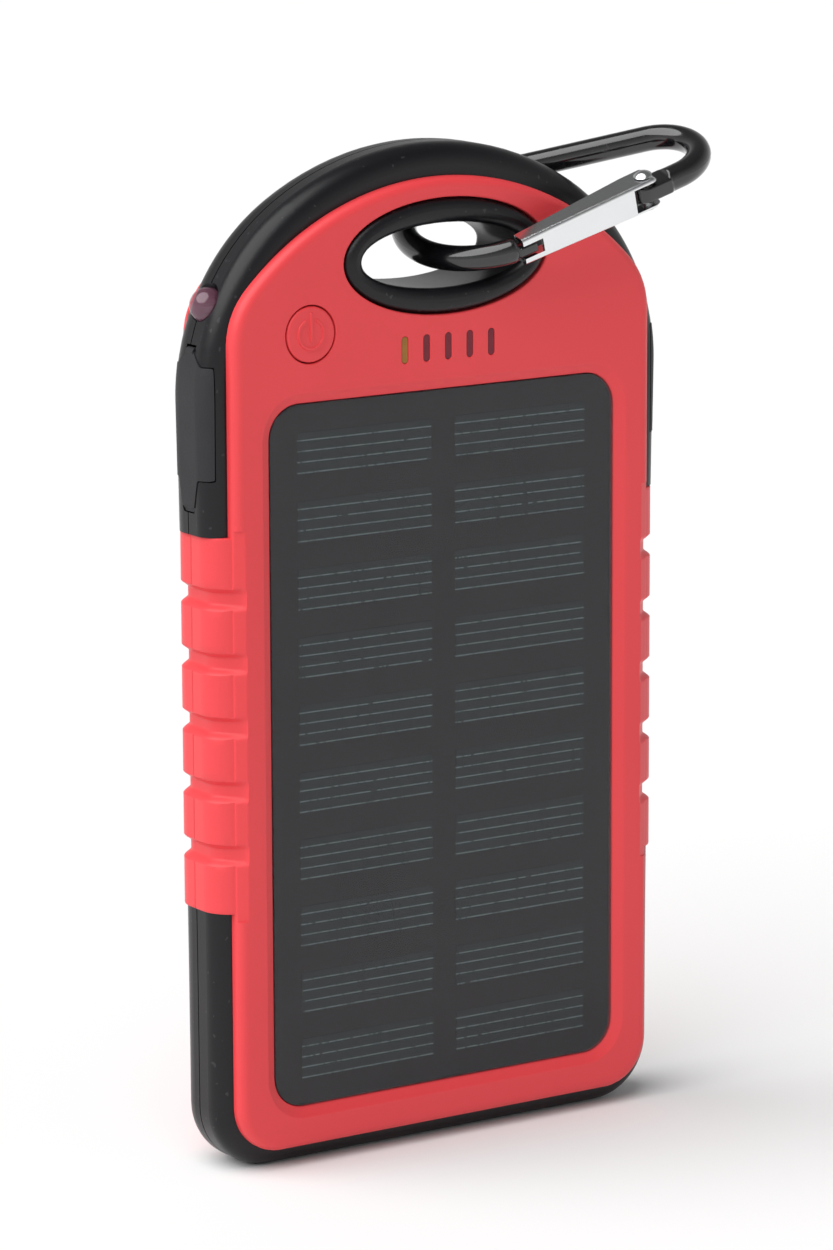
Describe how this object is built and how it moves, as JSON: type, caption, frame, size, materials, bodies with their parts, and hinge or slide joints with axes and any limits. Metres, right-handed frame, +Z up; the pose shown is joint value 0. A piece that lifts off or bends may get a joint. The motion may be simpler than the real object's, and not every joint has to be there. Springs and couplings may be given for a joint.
{
  "type": "solar phone charger",
  "caption": "Slim pocket solar power bank with grooved side grips, an oval eyelet with a carabiner through it, socket flaps, a power button and a torch lamp.",
  "frame": {"origin": "centre of the flat bottom edge", "axes": "+Z up along the case, +X to the right seen from the panel side, +Y from the panel to the back"},
  "size_m": [0.081, 0.0284, 0.142],
  "materials": {
    "red_plastic": "satin moulded",
    "black_plastic": "fine texture",
    "lamp_epoxy": "clear moulded",
    "circuit_board": "solder mask",
    "screw_steel": "plated",
    "adhesive_foam": "foam",
    "panel_backing": "laminate",
    "solar_cell": "coated silicon",
    "clear_cover": "clear laminate",
    "amber_lens": "clear moulded",
    "dark_lens": "smoked",
    "socket_steel": "nickel plated",
    "socket_plastic": "moulded",
    "contact_metal": "gold plated",
    "chip_resin": "moulded resin",
    "capacitor_ceramic": "matt",
    "cell_pouch": "laminated foil",
    "wire_sleeve": "insulation",
    "flap_rubber": "soft matt",
    "black_rod": "satin black",
    "chrome_steel": "bright plated"
  },
  "bodies": {
    "case": {"front_cover": "red_plastic", "rear_cover": "red_plastic", "front_shell": "black_plastic", "rear_shell": "black_plastic", "torch_led": "lamp_epoxy", "indicator_leds": "lamp_epoxy", "main_board": "circuit_board", "case_screws": "screw_steel", "panel_adhesive": "adhesive_foam", "solar_panel_board": "panel_backing", "solar_cells": "solar_cell", "solar_panel_cover": "clear_cover", "button_switch": "black_plastic", "charge_light_guide": "amber_lens", "level_light_guide": "dark_lens", "usb_socket_shell": "socket_steel", "usb_socket_tongue": "socket_plastic", "usb_contacts": "contact_metal", "micro_usb_shell": "socket_steel", "micro_usb_tongue": "socket_plastic", "board_chips": "chip_resin", "board_capacitors": "capacitor_ceramic", "boost_inductor": "chip_resin", "battery_cell": "cell_pouch", "battery_protection_board": "circuit_board", "battery_pad": "adhesive_foam", "battery_wires": "wire_sleeve", "solar_wires": "wire_sleeve"},
    "usb_flap": {"usb_flap": "flap_rubber"},
    "input_flap": {"input_flap": "flap_rubber"},
    "button": {"power_button": "red_plastic", "switch_plunger": "socket_plastic"},
    "carabiner": {"carabiner_body": "black_rod", "gate_pin": "chrome_steel", "gate_spring": "screw_steel"},
    "gate": {"carabiner_gate": "chrome_steel"}
  },
  "joints": [
    {"name": "usb_flap_hinge", "type": "hinge", "parent": "case", "child": "usb_flap", "pos_m": [-0.037, 0, 0.1156], "axis": [0, 1, 0], "range_deg": [0, 100]},
    {"name": "input_flap_hinge", "type": "hinge", "parent": "case", "child": "input_flap", "pos_m": [0.037, 0, 0.1156], "axis": [0, -1, 0], "range_deg": [0, 100]},
    {"name": "button_press", "type": "slide", "parent": "case", "child": "button", "axis": [0, 1, 0], "range_m": [0, 0.0004], "stiffness_N_per_m": 1000, "springref_m": -0.0003},
    {"name": "carabiner_swing", "type": "hinge", "parent": "case", "child": "carabiner", "pos_m": [0.003, 0, 0.1271], "axis": [0, -1, 0], "range_deg": [0, 75]},
    {"name": "gate_hinge", "type": "hinge", "parent": "carabiner", "child": "gate", "pos_m": [0.02946, -0.01272, 0.1341], "axis": [0.3411, 0.2244, -0.9129], "range_deg": [0, 6.5], "stiffness_Nm_per_rad": 0.01, "springref_deg": -8.59}
  ]
}
